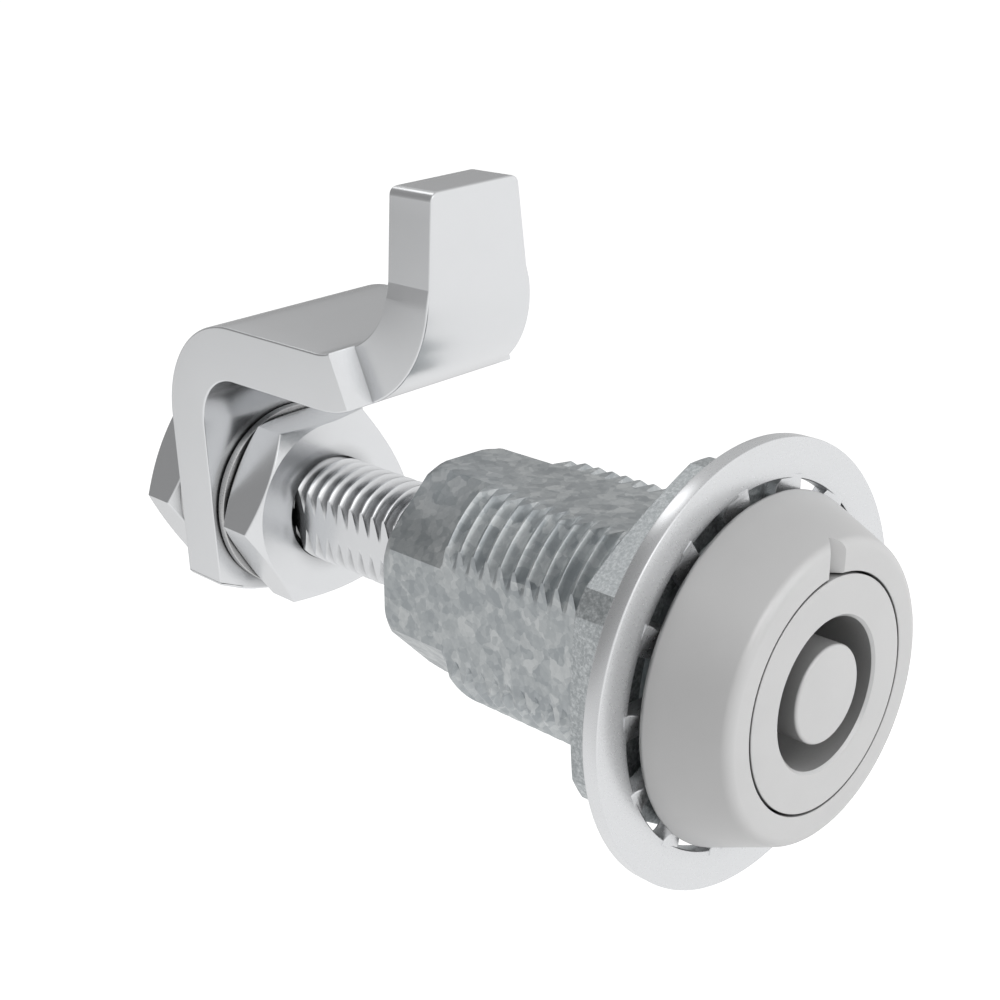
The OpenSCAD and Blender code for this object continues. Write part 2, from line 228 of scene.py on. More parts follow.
def spread(tree, value, fromLow, fromHigh, toLow, toHigh, kind="LINEAR"):
    made = tree.nodes.new("ShaderNodeMapRange")
    made.interpolation_type = kind
    made.inputs["From Min"].default_value = fromLow
    made.inputs["From Max"].default_value = fromHigh
    made.inputs["To Min"].default_value = toLow
    made.inputs["To Max"].default_value = toHigh
    tree.links.new(value, made.inputs["Value"])
    return made.outputs["Result"]


def math2(tree, kind, a, b):
    made = tree.nodes.new("ShaderNodeMath")
    made.operation = kind
    for i, v in enumerate((a, b)):
        if isinstance(v, (int, float)):
            made.inputs[i].default_value = v
        else:
            tree.links.new(v, made.inputs[i])
    return made.outputs[0]


def tones(tree, value, stops):
    # stops are (place, grey or colour), blended in between
    made = tree.nodes.new("ShaderNodeValToRGB")
    ramp = made.color_ramp
    while len(ramp.elements) < len(stops):
        ramp.elements.new(0.5)
    for element, (place, tone) in zip(ramp.elements, stops):
        element.position = place
        tone = (tone,) * 3 if isinstance(tone, (int, float)) else tone
        element.color = (*tone, 1)
    tree.links.new(value, made.inputs["Fac"])
    return made.outputs["Color"]


def bumped(tree, shader, height, strength, distance):
    made = tree.nodes.new("ShaderNodeBump")
    made.inputs["Strength"].default_value = strength
    made.inputs["Distance"].default_value = distance
    tree.links.new(height, made.inputs["Height"])
    tree.links.new(made.outputs["Normal"], shader.inputs["Normal"])


def paintedCornerShade(tree, colour, reach, least):
    # painted shade in tight corners: colour times an ambient occlusion factor that goes from least, shut in,
    # to 1 in the open
    shutIn, freeAir = 0.25, 0.85
    near = tree.nodes.new("ShaderNodeAmbientOcclusion")
    near.samples = 8
    near.inputs["Distance"].default_value = reach
    factor = spread(tree, near.outputs["AO"], shutIn, freeAir, least, 1.0)
    mixed = tree.nodes.new("ShaderNodeVectorMath")
    mixed.operation = "SCALE"
    tree.links.new(colour, mixed.inputs[0])
    tree.links.new(factor, mixed.inputs["Scale"])
    return mixed.outputs["Vector"]


# finishes: lengths in metres, scales in cells per metre

def silverCoat():
    s = {"metal": 0.35, "rough": (0.32, 0.37), "light": 0.605, "dark": 0.585, "grain": 9000, "cloud": 180,
         "cornerShade": (0.004, 0.45), "bump": (0.02, 0.00001)}
    look, tree, shader, where = startLook("silverCoat")
    cloud = noise(tree, where, s["cloud"], 3)
    coat = tones(tree, cloud, [(0.3, s["dark"]), (0.7, s["light"])])
    # the coat's colour is darkened by painted shade where other surfaces are near
    tree.links.new(paintedCornerShade(tree, coat, *s["cornerShade"]), shader.inputs["Base Color"])
    grain = noise(tree, where, s["grain"], 2)
    tree.links.new(spread(tree, grain, 0.3, 0.7, *s["rough"]), shader.inputs["Roughness"])
    shader.inputs["Metallic"].default_value = s["metal"]
    bumped(tree, shader, grain, *s["bump"])
    return look


def bodyZinc():
    # large and small crystals and a fine grain, each with its share of the tone
    s = {"large": 760, "small": 1500, "fine": 2200, "shares": (0.42, 0.26, 0.32), "wobble": 0.0006,
         "rough": (0.34, 0.44), "metal": 0.9, "bump": (0.12, 0.00003),
         "stops": [(0.25, (0.36, 0.385, 0.40)), (0.5, (0.46, 0.485, 0.495)), (0.75, (0.60, 0.62, 0.625))]}
    look, tree, shader, where = startLook("bodyZinc")
    large = cells(tree, where, s["large"], 0.08, s["wobble"])
    small = cells(tree, where, s["small"], 0.1, s["wobble"] * 0.7)
    fine = noise(tree, where, s["fine"], 4, 0.6)
    parts = [math2(tree, "MULTIPLY", value, share) for value, share in zip((large, small, fine), s["shares"])]
    mixed = math2(tree, "ADD", math2(tree, "ADD", parts[0], parts[1]), parts[2])
    tree.links.new(tones(tree, mixed, s["stops"]), shader.inputs["Base Color"])
    tree.links.new(spread(tree, large, 0.2, 0.8, *s["rough"]), shader.inputs["Roughness"])
    shader.inputs["Metallic"].default_value = s["metal"]
    bumped(tree, shader, mixed, *s["bump"])
    return look


def nutZinc():
    s = {"speck": 3600, "rough": (0.38, 0.5), "metal": 0.85, "bump": (0.15, 0.00003),
         "stops": [(0.36, (0.355, 0.378, 0.388)), (0.5, (0.465, 0.490, 0.500)), (0.66, (0.65, 0.675, 0.685))]}
    look, tree, shader, where = startLook("nutZinc")
    speck = noise(tree, where, s["speck"], 3, 0.7)
    tree.links.new(tones(tree, speck, s["stops"]), shader.inputs["Base Color"])
    tree.links.new(spread(tree, speck, 0.3, 0.7, *s["rough"]), shader.inputs["Roughness"])
    shader.inputs["Metallic"].default_value = s["metal"]
    bumped(tree, shader, speck, *s["bump"])
    return look


def satinZinc(name, light, dark, rough, metal=0.95, brush=None, cornerShade=0.32):
    # broad clouds and a fine grain, which brush stretches into marks of the tool, with painted shade
    # darkening the colour in tight corners
    s = {"cloud": 240, "grain": 5200, "shares": (0.6, 0.4), "reach": 0.003, "bump": (0.01, 0.00002)}
    look, tree, shader, where = startLook(name)
    cloud = noise(tree, where, s["cloud"], 4, 0.6)
    fine = noise(tree, where, s["grain"], 3, 0.6, brush)
    parts = [math2(tree, "MULTIPLY", value, share) for value, share in zip((cloud, fine), s["shares"])]
    plating = tones(tree, math2(tree, "ADD", *parts), [(0.34, dark), (0.66, light)])
    # painted shade: the plating's colour is darkened where other surfaces are near
    tree.links.new(paintedCornerShade(tree, plating, s["reach"], cornerShade), shader.inputs["Base Color"])
    tree.links.new(spread(tree, fine, 0.3, 0.7, *rough), shader.inputs["Roughness"])
    shader.inputs["Metallic"].default_value = metal
    bumped(tree, shader, fine, *s["bump"])
    return look


def plainLook(name, dark, light, rough, scale, grain, bump):
    # rubber or plastic: faint clouds of tone over a fine uneven surface
    look, tree, shader, where = startLook(name)
    stops = [(0.3, dark), (0.7, light)]
    tree.links.new(tones(tree, noise(tree, where, scale), stops), shader.inputs["Base Color"])
    shader.inputs["Roughness"].default_value = rough
    bumped(tree, shader, noise(tree, where, grain), bump, 0.00002)
    return look


looks = {
    "silver_cast": silverCoat(),
    "zinc_body": bodyZinc(),
    "nut_zinc": nutZinc(),
    "washer_zinc": satinZinc("washerZinc", (0.735, 0.744, 0.756), (0.720, 0.729, 0.741), (0.27, 0.29),
                             cornerShade=0.8),
    "plated_steel": satinZinc("platedSteel", (0.748, 0.757, 0.770), (0.733, 0.742, 0.755), (0.23, 0.25)),
    "lock_steel": satinZinc("lockSteel", 0.62, 0.56, (0.26, 0.32)),
    "plain_steel": satinZinc("plainSteel", 0.60, 0.50, (0.22, 0.34)),
    "spring_steel": satinZinc("springSteel", 0.42, 0.32, (0.28, 0.4)),
    "dark_steel": satinZinc("darkSteel", 0.10, 0.06, (0.34, 0.5), 0.7),
    "bush_steel": satinZinc("bushSteel", 0.44, 0.34, (0.24, 0.38), brush=(1, 12, 1)),
    "black_rubber": plainLook("blackRubber", 0.012, 0.022, 0.45, 900, 5000, 0.2),
    "white_plastic": plainLook("whiteAcetal", (0.74, 0.74, 0.69), (0.80, 0.80, 0.76), 0.4, 400, 3000, 0.1),
}
print("finishes made:", len(looks))


# head: section spun round the axis, with the upright V-shaped index notch cut into its front face

head = {"bore": 9.30, "front": 11.6, "rear": 14.11, "length": 6.2, "frontRound": 1.0, "rearRound": 0.4,
        "boreRound": 0.1, "socket": 10.32, "socketDepth": 3.1, "notchHalf": 0.95, "notchDepth": 0.90,
        "columns": 240, "sharp": 40}


def headShell(h):
    front, back = -h["length"], -h["socketDepth"]
    loop = roundedLoop([(h["bore"], front, h["boreRound"]), (h["front"], front, h["frontRound"]),
                        (h["rear"], 0, h["rearRound"]), (h["socket"], 0, h["boreRound"]),
                        (h["socket"], back, 0), (h["bore"], back, 0)], 8)
    return spin(loop, h["columns"])


def notchCutter(h):
    # a wedge twice the groove's size, with its point at the groove's floor, that runs up through the rim
    w, d, front = 2 * h["notchHalf"], h["notchDepth"], -h["length"]
    plan = np.array([(-w, front - d), (w, front - d), (0, front + d)])
    ends = (h["bore"] - 1, h["rear"] + 1)
    rows = [np.stack([plan[:, 0], plan[:, 1], z + 0 * plan[:, 0]], -1) for z in ends]
    caps = [np.broadcast_to(row.mean(0), row.shape) for row in rows]
    return np.stack([caps[0], rows[0], rows[1], caps[1]]), gridFaces(4, 3, False, True)


makePiece("headCasting", [headShell(head)], looks["silver_cast"], "housing", ["head"],
          head["sharp"], [notchCutter(head)])


# core: disc with the key recess and post, barrel behind it, two helical slots for the cross pin

core = {"disc": 9.12, "front": -6.2, "discBack": -3.7, "post": 3.85, "postRound": 0.28, "recess": 5.9,
        "mouth": 0.22, "mouthRound": 0.06, "floor": 1.8, "floorRound": 0.2, "discRound": 0.1, "barrel": 7.15,
        "end": 25.6, "endRound": 0.2, "cavity": 5.35, "cavityFloor": 4.6, "sealR": 5.95, "sealFrom": 2.1,
        "sealTo": 3.8, "ringR": 6.55, "ringFrom": 24.25, "ringTo": 25.15, "pinY": 20.5, "draw": 5.0,
        "turn": 90, "slotHalf": 1.7, "slotFrom": 4.0, "slotTo": 9.0, "slotSteps": 24, "columns": 200,
        "sharp": 40}


def coreShell(c):
    # half section from the post's centre round the disc and the barrel's two grooves to the cavity's floor
    front, mouth, disc, barrel, end = c["front"], c["mouth"], c["disc"], c["barrel"], c["end"]
    loop = roundedLoop([(0, front, 0), (c["post"], front, c["postRound"]),
                        (c["post"], c["floor"], c["floorRound"]), (c["recess"], c["floor"], c["floorRound"]),
                        (c["recess"], front + mouth, c["mouthRound"]),
                        (c["recess"] + mouth, front, c["mouthRound"]), (disc, front, c["discRound"]),
                        (disc, c["discBack"], c["discRound"]), (barrel, c["discBack"], 0),
                        (barrel, c["sealFrom"], 0), (c["sealR"], c["sealFrom"], 0),
                        (c["sealR"], c["sealTo"], 0), (barrel, c["sealTo"], 0),
                        (barrel, c["ringFrom"], 0), (c["ringR"], c["ringFrom"], 0),
                        (c["ringR"], c["ringTo"], 0), (barrel, c["ringTo"], 0),
                        (barrel, end, c["endRound"]), (c["cavity"], end, c["endRound"]),
                        (c["cavity"], c["cavityFloor"], 0), (0, c["cavityFloor"], 0)], 6, False)
    return spin(loop, c["columns"], False)


def slotCutter(c, side):
    # the slot's outline is two half circles joined along the helix, carried outwards with parallel walls
    half = np.linspace(0, math.pi, c["slotSteps"] + 1)[:-1]
    lean = math.atan2(c["draw"], rad(c["turn"]) * c["barrel"])
    a = np.concatenate([math.pi / 2 + lean + half, -math.pi / 2 + lean + half])
    end = np.repeat([1.0, 0.0], c["slotSteps"])
    turn, off = side + setTurn + end * c["turn"], -c["slotHalf"] * np.cos(a)
    y = c["pinY"] - c["draw"] * end + c["slotHalf"] * np.sin(a)
    inner, outer = [polar(np.hypot(r, off), turn + np.degrees(np.arctan2(off, r)), y)
                    for r in (c["slotFrom"], c["slotTo"])]
    middle = side + setTurn + c["turn"] / 2, c["pinY"] - c["draw"] / 2
    caps = [np.broadcast_to(polar(r, *middle), inner.shape) for r in (c["slotFrom"], c["slotTo"])]
    quads = gridFaces(4, len(turn), False, True)
    return np.stack([caps[0], inner, outer, caps[1]]), np.concatenate([quads[:, :3], quads[:, [0, 2, 3]]])


makePiece("driveCore", [coreShell(core)], looks["silver_cast"], "core", ["core"],
          core["sharp"], [slotCutter(core, 0), slotCutter(core, 180)])


# threads: rows follow the helix, so each row keeps one radius and meets a flat at one angle

def threadSkin(s):
    # y = start + pitch (row - angle / 360), r = crest less the depth of the row's place in the thread form
    flats, span = s["flats"], 360 / len(s["flats"])
    t = np.array(s["phases"])
    away = np.minimum(t, 1 - t)
    h = np.clip((s["flankEnd"] - away) / (s["flankEnd"] - s["crestHalf"]), 0, 1)
    rounded = 0.45  # share of a smooth wave in the form, against straight flanks
    h = (1 - rounded) * h + rounded * h * h * (3 - 2 * h)
    first = math.floor((s["low"] - s["y0"]) / s["pitch"] + (flats[0] + 60 - s["angle0"]) / 360) - 1
    last = math.ceil((s["high"] - s["y0"]) / s["pitch"] + (flats[0] + 360 - s["angle0"]) / 360) + 1
    turns = np.arange(first, last)
    row = (turns[:, None] + t[None]).ravel()[:, None]
    form = np.tile(s["root"] + (s["crest"] - s["root"]) * h, len(turns))[:, None]

    def place(angle):
        y = np.clip(s["y0"] + s["pitch"] * (row - (angle - s["angle0"]) / 360), s["low"], s["high"])
        lowCone = s["lowEnd"] + (y - s["low"]) * s["lowSlope"]
        highCone = s["highEnd"] + (s["high"] - y) * s["highSlope"]
        return np.minimum(form, np.minimum(lowCone, highCone)), y

    def edge(flat, side):
        # angle at which each row meets the flat, found in a few rounds
        angle = flat + side * np.degrees(np.arccos(s["flatAt"] / s["crest"])) + 0 * row
        for _ in range(12):
            r = place(angle)[0]
            angle = flat + side * np.degrees(np.arccos(np.minimum(1, s["flatAt"] / r)))
        return angle

    u = np.linspace(0, 1, s["sectorColumns"] + 1)[None]
    v = np.linspace(0, 1, s["flatColumns"] + 1)[None, 1:-1, None]
    parts = []
    for k, flat in enumerate(flats):
        a, b = edge(flat, 1), edge(flat + span, -1)
        angle = a + (b - a) * u
        r, y = place(angle)
        parts.append(polar(r, angle, y))
        nextEdge = edge(flat + span, 1)
        r, y = place(nextEdge)
        start = polar(r, nextEdge, y)
        parts.append(parts[-1][:, -1:] * (1 - v) + start * v)
        if k == len(flats) - 1:
            parts.append(start)
    return np.concatenate(parts, 1)


def ringRow(s, radius, y, beta=None):
    # one row with the thread skin's columns: radius may be a number or a function of the angle
    span = 360 / len(s["flats"])
    beta = math.degrees(math.acos(min(1, s["flatAt"] / s["crest"]))) if beta is None else beta
    parts = []
    for flat in s["flats"]:
        parts.append(np.linspace(flat + beta, flat + span - beta, s["sectorColumns"] + 1))
        parts.append(np.linspace(flat + span - beta, flat + span + beta, s["flatColumns"] + 1)[1:-1])
    parts.append([s["flats"][0] + 360 + beta])
    angle = np.concatenate(parts)
    r = radius(angle) if callable(radius) else radius
    return polar(r, angle, y + 0 * angle)[None]


# body: spigot, four-flat thread, eight-sided collar, counterbore

body = {"flats": [0, 90, 180, 270], "flatAt": 9.4, "facetAt": 9.2, "crest": 11.0, "root": 10.2, "pitch": 1.5,
        "phases": [0, 0.05, 0.10, 0.21, 0.31, 0.38, 0.5, 0.62, 0.69, 0.79, 0.90, 0.95], "crestHalf": 0.06,
        "flankEnd": 0.38, "y0": 11.96, "angle0": 148.8, "low": 0.0, "high": 24.7, "lowEnd": 10.1,
        "lowSlope": 1.2, "highEnd": 10.12, "highSlope": 1.3, "sectorColumns": 26, "flatColumns": 10,
        "sharp": 28}
collar = {"end": 31.8, "rows": (24.7, 27.0, 29.4, 30.4, 30.7, 31.0, 31.25, 31.5, 31.7), "rim": 0.12,
          "corner": 21.01, "endR": 9.65, "endSlope": 0.4667, "bore": 7.8, "boreCut": 0.25, "barrel": 7.2,
          "boreStart": 24.2, "grooveFrom": 30.18, "grooveTo": 31.22, "groove": 8.3, "spigot": 10.32,
          "spigotFront": -3.1, "spigotCut": 0.1}


def bodyShell(s, c):
    def facets(y):
        # nearest of four flats, four facets between them, and the cone turned on the end
        def radius(angle):
            flat = s["flatAt"] / np.cos(np.radians((angle + 45) % 90 - 45))
            facet = s["facetAt"] / np.cos(np.radians(angle % 90 - 45))
            return np.minimum(np.minimum(flat, facet), c["endR"] + (c["end"] - y) * c["endSlope"])
        return radius

    def ring(radius, y):
        return ringRow(s, radius, y, c["corner"])

    front, end, cut = c["spigotFront"], c["end"], c["spigotCut"]
    rows = [ring(c["barrel"], front), ring(c["spigot"] - cut, front), ring(c["spigot"], front + cut),
            ring(c["spigot"], 0.0), threadSkin(s)]
    rows += [ring(facets(y), y) for y in c["rows"]]
    rows += [ring(lambda angle: facets(end)(angle) - c["rim"], end), ring(c["bore"] + c["boreCut"], end),
             ring(c["bore"], end - c["boreCut"]), ring(c["bore"], c["grooveTo"]),
             ring(c["groove"], c["grooveTo"]), ring(c["groove"], c["grooveFrom"]),
             ring(c["bore"], c["grooveFrom"]), ring(c["bore"], c["boreStart"]),
             ring(c["barrel"], c["boreStart"])]
    points = np.concatenate(rows)
    return points, gridFaces(points.shape[0], points.shape[1], True, False)


makePiece("threadedBody", [bodyShell(body, collar)], looks["zinc_body"], "housing", ["body"],
          body["sharp"])


# shaft: plain neck inside the core, then the threaded length with two flats

shaft = {"flats": [0, 180], "flatAt": 4.0, "crest": 5.0, "root": 4.08, "pitch": 1.5,
         "phases": [0, 0.05, 0.10, 0.22, 0.33, 0.41, 0.5, 0.59, 0.67, 0.78, 0.90, 0.95], "crestHalf": 0.06,
         "flankEnd": 0.41, "y0": 37.8, "angle0": 140.4, "low": 23.5, "high": 70.5, "lowEnd": 4.05,
         "lowSlope": 0.8, "highEnd": 4.0, "highSlope": 1.0, "sectorColumns": 36, "flatColumns": 10,
         "neck": 4.9, "neckCut": 0.3, "start": 15.5, "sharp": 30}


def shaftShell(s):
    cut = s["neckCut"]
    rows = [ringRow(s, 0.0, s["start"]), ringRow(s, s["neck"] - cut, s["start"]),
            ringRow(s, s["neck"], s["start"] + cut), ringRow(s, s["neck"], s["low"]), threadSkin(s),
            ringRow(s, 0.0, s["high"])]
    points = turned(np.concatenate(rows), setTurn)
    return points, gridFaces(points.shape[0], points.shape[1], False, False)


makePiece("threadedShaft", [shaftShell(shaft)], looks["plated_steel"], "shaft", ["shaft"],
          shaft["sharp"])


# toothed washers: a rounded ring, and flat bars carried inwards from it that twist on the way

def toothedShells(w):
    o, i, t, e, w2 = w["outer"], w["inner"], w["thick"] / 2, w["edge"], w["toothW"] / 2
    loop = roundedLoop([(i, -t, e), (o, -t, e), (o, t, e), (i, t, e)], 4)
    ring = spin(loop + np.array([0, w["mid"]]), w["columns"])
    outline = roundedLoop([(-w2, -t, e), (w2, -t, e), (w2, t, e), (-w2, t, e)], 3)
    # a bar starts inside the ring, is closed at both ends and shrinks a little at its tip
    steps = (0.35, 0.35, -0.1, -0.35, -0.7, -1.1)
    reach = np.array([*(i + step for step in steps), w["tip"] + 0.1, w["tip"], w["tip"]])
    size = np.array([0, 1, 1, 1, 1, 1, 1, 0.93, 0])[:, None]
    ease = np.clip((i - reach) / w["ease"], 0, 1)
    turn = np.radians(w["twist"] * (0.25 + 0.75 * ease * ease * (3 - 2 * ease)))[:, None]
    a, b = outline[None, :, 0] * size, outline[None, :, 1] * size
    side, along = a * np.cos(turn) - b * np.sin(turn), a * np.sin(turn) + b * np.cos(turn)
    bar = np.stack([np.broadcast_to(reach[:, None], side.shape), along + w["mid"], side], -1)
    angles = w["first"] + np.arange(w["count"]) * 360 / w["count"]
    faces = gridFaces(bar.shape[0], bar.shape[1], False, True)
    return [ring] + [(turned(bar, angle), faces) for angle in angles]


washer = {"outer": 17.7, "inner": 14.55, "thick": 1.36, "mid": 1.022, "edge": 0.12, "tip": 11.2, "count": 14,
          "toothW": 2.3, "twist": 18, "ease": 0.9, "first": 76.5, "columns": 200}
makePiece("toothedWasher", toothedShells(washer), looks["washer_zinc"], "housing", ["tooth_washer"])

lock = {"outer": 9.0, "inner": 7.1, "thick": 0.8, "edge": 0.1, "tip": 5.2, "count": 10, "toothW": 1.5,
        "twist": -14, "ease": 0.6, "first": setTurn, "columns": 120}
for name, node, mid in (("frontLockWasher", "front_lock_washer", 55.284),
                        ("rearLockWasher", "rear_lock_washer", 61.44)):
    makePiece(name, toothedShells({**lock, "mid": mid}), looks["lock_steel"], "shaft", [node])


# hexagon nuts: each column has its own outer radius, each row is a step of the section

def nutShell(n):
    # radius = across-flats half / cos(angle from the nearest flat), no larger than the turned corner
    band, wide, narrow = n["cornerBand"], 14, 4
    lane = np.concatenate([np.linspace(0, band, narrow + 1)[:-1], np.linspace(band, 60 - band, wide + 1)[:-1],
                           np.linspace(60 - band, 60, narrow + 1)[:-1]])
    angle = (lane[None] + 60 * np.arange(6)[:, None]).ravel()
    away = np.radians(angle % 60 - 30)
    outer = np.minimum(n["flats"] / 2 / np.cos(away), n["corner"])
    out, flat = outer - n["faceR"], 0 * outer
    rise = np.maximum(out, 0) * n["slope"]
    b, half, cut = n["edge"], n["thick"] / 2, n["boreCut"]
    coneEnd = rise * (out - b) / np.maximum(out, 0.01)
    side = [(n["bore"] + flat, half - cut + flat), (n["bore"] + cut + flat, half + flat),
            (n["faceR"] - 0.1 + flat, half + flat)]
    # the turned cone, with a narrow row beside each of its edges so that the flat faces shade flat
    for share in (0.0, 0.05, 0.5, 0.95, 1.0):
        side.append((n["faceR"] + (out - b) * share, half - coneEnd * share))
    low = half - rise
    side += [(outer - 0.3 * b, low - 0.3 * b), (outer, low - b), (outer, low - b - 0.06)]
    rows = [polar(r, angle, y) for r, y in side] + [polar(r, angle, -y) for r, y in reversed(side)]
    points = np.stack(rows) + np.array([0, n["mid"], 0])
    return turned(points, n["turn"]), gridFaces(len(rows), len(angle), True, True)


mountNut = {"flats": 27.0, "corner": 15.0, "cornerBand": 4.16, "faceR": 13.1, "slope": 0.22, "edge": 0.12,
            "thick": 4.8, "mid": 4.44, "bore": 11.05, "boreCut": 0.35, "turn": 30, "sharp": 25}
makePiece("mountingNut", [nutShell(mountNut)], looks["nut_zinc"], "housing", ["mounting_nut"],
          mountNut["sharp"])

jamNut = {"flats": 17.0, "corner": 30.0, "cornerBand": 0.6, "faceR": 8.4, "slope": 0.577, "edge": 0.1,
          "thick": 5.0, "bore": 4.45, "boreCut": 0.6, "turn": setTurn, "sharp": 25}
for name, node, mid in (("frontClampNut", "front_jam_nut", 52.2), ("rearClampNut", "rear_jam_nut", 64.52)):
    makePiece(name, [nutShell({**jamNut, "mid": mid})], looks["plated_steel"], "shaft", [node],
              jamNut["sharp"])


# pawl: a rounded bar section carried along the twice-bent centre line, narrowed at a slanting shoulder

pawl = {"halfT": 2.5, "halfW": 9.5, "footW": 7.07, "neckW": 5.85, "topW": 5.5, "tipW": 4.85, "edge": 0.18,
        "legY": 58.36, "bend1": (50.66, 9.3, 7.7), "armZ": 17.0, "bend2": (38.5, 24.5, 7.5),
        "shoulderAt": 23.2, "shoulderLean": -0.25, "leanFade": 25, "neckTurn": 87.0, "taper": (24.1, 25.5),
        "tip": 33.1, "tipRound": 0.8, "legEndR": 18.0, "legEndZ": 8.6, "legRowsTo": -5.0, "endRound": 0.3,
        "edgeSteps": 25, "faceColumns": 11, "hole": 5.1, "holeFlat": 4.1, "holeFrom": 54.5, "holeTo": 62.5,
        "holeColumns": 96, "weldSharp": 30, "sharp": 4.5}


def pawlSection(p):
    # columns round the bar: place across and in thickness (-1 to 1), the edge arcs' part of each, and which
    # columns lie on the flat faces
    steps, columns = p["edgeSteps"], p["faceColumns"]
    arc = np.radians(np.linspace(0, 90, steps))
    m, edge, face = np.linspace(-1, 1, columns), np.ones(steps), np.ones(columns)
    across = np.concatenate([[-1], -edge, m, edge, [1]])
    thick = np.concatenate([[0], -edge, -face, -edge, [0]])
    arcX = np.concatenate([[-1], -np.cos(arc), 0 * face, np.cos(arc[::-1]), [1]])
    arcT = np.concatenate([[0], -np.sin(arc), -face, -np.sin(arc[::-1]), [0]])
    inner = np.concatenate([[0], 0 * edge, face, 0 * edge, [0]])

    def mirrored(v, sign):
        return np.concatenate([v, sign * v[-2:0:-1]])[None]
    return (mirrored(across, 1), mirrored(thick, -1), mirrored(arcX, 1), mirrored(arcT, -1),
            mirrored(inner, 1) > 0)


def pawlLine(p):
    # rows of the centre line (y, z and the direction of thickness), and the turns of the second bend's rows
    y1, z1, r1 = p["bend1"]
    y2, z2, r2 = p["bend2"]
    top = p["tip"] - p["tipRound"]
    alpha = np.radians(np.linspace(0, 90, 25))
    wideTurn, narrowTurn = np.linspace(0, p["shoulderAt"], 9), np.linspace(p["shoulderAt"], 90, 27)
    beta = np.concatenate([wideTurn, narrowTurn])
    tongueZ = np.concatenate([[p["taper"][1]], np.linspace(p["taper"][1], top, 6)[1:],
                              top + p["tipRound"] * np.sin(np.radians(np.linspace(5, 86, 16)))])
    # leg rows: v = 0 lies on the rounded end, v = 1 on a straight line across the leg
    psi = np.radians(np.linspace(0, 90, 12))
    v = np.concatenate([0 * psi, [0.12, 0.3, 0.6, 1.0]])
    lift = np.concatenate([p["endRound"] * (1 - np.cos(psi)), np.zeros(4)])
    shrink = np.concatenate([p["endRound"] * (1 - np.sin(psi)), np.zeros(4)])

    def stack(y, z, ny, nz):
        return np.stack(np.broadcast_arrays(y, z, ny, nz), -1)
    line = np.concatenate([
        stack(p["legY"], 0 * v, 1.0, 0.0),
        stack(p["legY"], np.linspace(p["legRowsTo"] + 1, z1, 10)[:-1], 1.0, 0.0),
        stack(y1 + r1 * np.cos(alpha), z1 + r1 * np.sin(alpha), np.cos(alpha), np.sin(alpha)),
        stack(np.linspace(y1, y2, 8)[1:-1], p["armZ"], 0.0, 1.0),
        stack(y2, z2 - r2, 0.0, 1.0 + 0 * beta),
        stack(y2 - r2, tongueZ, 1.0, 0.0)])
    bend = len(line) - len(tongueZ) - len(beta)
    return line, v, lift, shrink, beta, slice(bend, bend + len(wideTurn)), slice(bend, bend + len(beta))


def pawlShell(p):
    line, v, lift, shrink, beta, wideRows, bendRows = pawlLine(p)
    y2, z2, r2 = p["bend2"]
    e, c, at = p["endRound"], p["edge"], p["shoulderAt"]
    top = p["tip"] - p["tipRound"]
    n, leg, narrow = len(line), len(v), slice(wideRows.stop, None)
    # widths and thickness along the line: full width as far as the shoulder, then neck, taper and rounded tip
    halfW, halfT = np.full(n, p["halfW"]), np.full(n, p["halfT"])
    halfW[:leg] -= shrink
    halfT[:leg] -= shrink
    z = line[:, 1].copy()
    z[bendRows] = z2 - r2 * np.cos(np.radians(beta))
    wide = np.interp(z, [*p["taper"], top], [p["neckW"], p["topW"], p["tipW"]])
    wide[bendRows] += np.interp(beta, [at, p["neckTurn"]], [p["footW"] - p["neckW"], 0])
    halfW[narrow] = wide[narrow]
    over = np.clip(z - top, 0, p["tipRound"]) * (np.arange(n) > bendRows.start)
    halfW -= p["tipRound"] - np.sqrt(p["tipRound"] ** 2 - over ** 2)
    halfT -= e - np.sqrt(e ** 2 - np.clip(over - (p["tipRound"] - e), 0, e) ** 2)
    across, thick, arcX, arcT, inner = pawlSection(p)
    flatW = np.minimum(halfW, p["footW"])[:, None] - c
    x = np.where(inner, across * flatW, across * (halfW[:, None] - c) + c * arcX)
    off = thick * (halfT[:, None] - c) + c * arcT
    py = line[:, 0:1] + line[:, 2:3] * off
    pz = line[:, 1:2] + line[:, 3:4] * off
    # second bend: the shoulder's plane stands at one angle, and leans from the neck out to the full width
    reach = np.clip((np.abs(x) - p["footW"] + c) / (p["halfW"] - p["footW"]), 0, 1) * 2 - 1
    lean = np.degrees(np.arctan(p["shoulderLean"] * reach / (r2 - off)))
    fade = np.ones(n)
    fade[bendRows] = np.clip(1 - (beta - at) / p["leanFade"], 0, 1)
    fade[wideRows] = beta[:wideRows.stop - wideRows.start] / at
    turn = np.radians(beta[:, None] + (fade[:, None] * lean)[bendRows])
    py[bendRows] = y2 - (r2 - off[bendRows]) * np.sin(turn)
    pz[bendRows] = z2 - (r2 - off[bendRows]) * np.cos(turn)
    endZ = p["legEndZ"] - np.sqrt(p["legEndR"] ** 2 - x[:leg] ** 2)
    pz[:leg] = (endZ + lift[:, None]) * (1 - v[:, None]) + p["legRowsTo"] * v[:, None]
    return turned(np.stack([x, py, pz], -1), setTurn)


